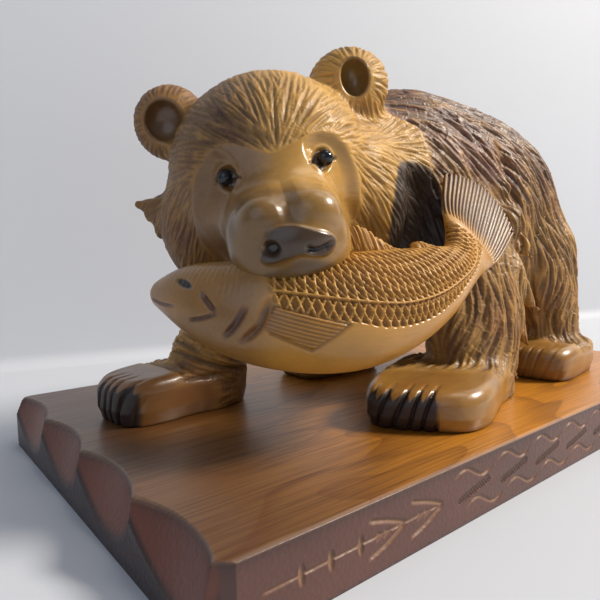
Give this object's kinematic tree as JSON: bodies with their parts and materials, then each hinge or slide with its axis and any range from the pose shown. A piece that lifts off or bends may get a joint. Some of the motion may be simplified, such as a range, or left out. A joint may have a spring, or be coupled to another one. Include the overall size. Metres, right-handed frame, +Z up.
{
  "type": "carved wooden figurine",
  "caption": "Wood carving of a walking bear with a salmon held crosswise in its mouth, screwed to a thick plinth with gouged ends and an engraved front edge.",
  "frame": {"origin": "bottom centre of the plinth, on the surface that it stands on", "axes": "+X along the plinth towards the bear's rump, -Y out of the engraved long side, +Z up"},
  "size_m": [0.33, 0.19, 0.1728],
  "materials": {
    "plinth_wood": "walnut-stained softwood, varnished; nearly black stain on the cut ends and edges",
    "bear_wood": "lime wood, hand gouged, brown stain wiped back to honey on the high places, satin varnish",
    "salmon_wood": "lime wood, hand gouged scales, honey stain, satin varnish",
    "eye_glass": "solid black glass bead, polished",
    "dowel_wood": "plain beech dowel",
    "screw_steel": "plain zinc-plated wood screw"
  },
  "bodies": {
    "root": {"base_board": "plinth_wood", "bear": "bear_wood", "salmon": "salmon_wood", "eye_left": "eye_glass", "eye_right": "eye_glass", "jaw_dowel": "dowel_wood", "tail_dowel": "dowel_wood", "screw_near_fore": "screw_steel", "screw_far_fore": "screw_steel", "screw_near_hind": "screw_steel", "screw_far_hind": "screw_steel"}
  },
  "joints": []
}
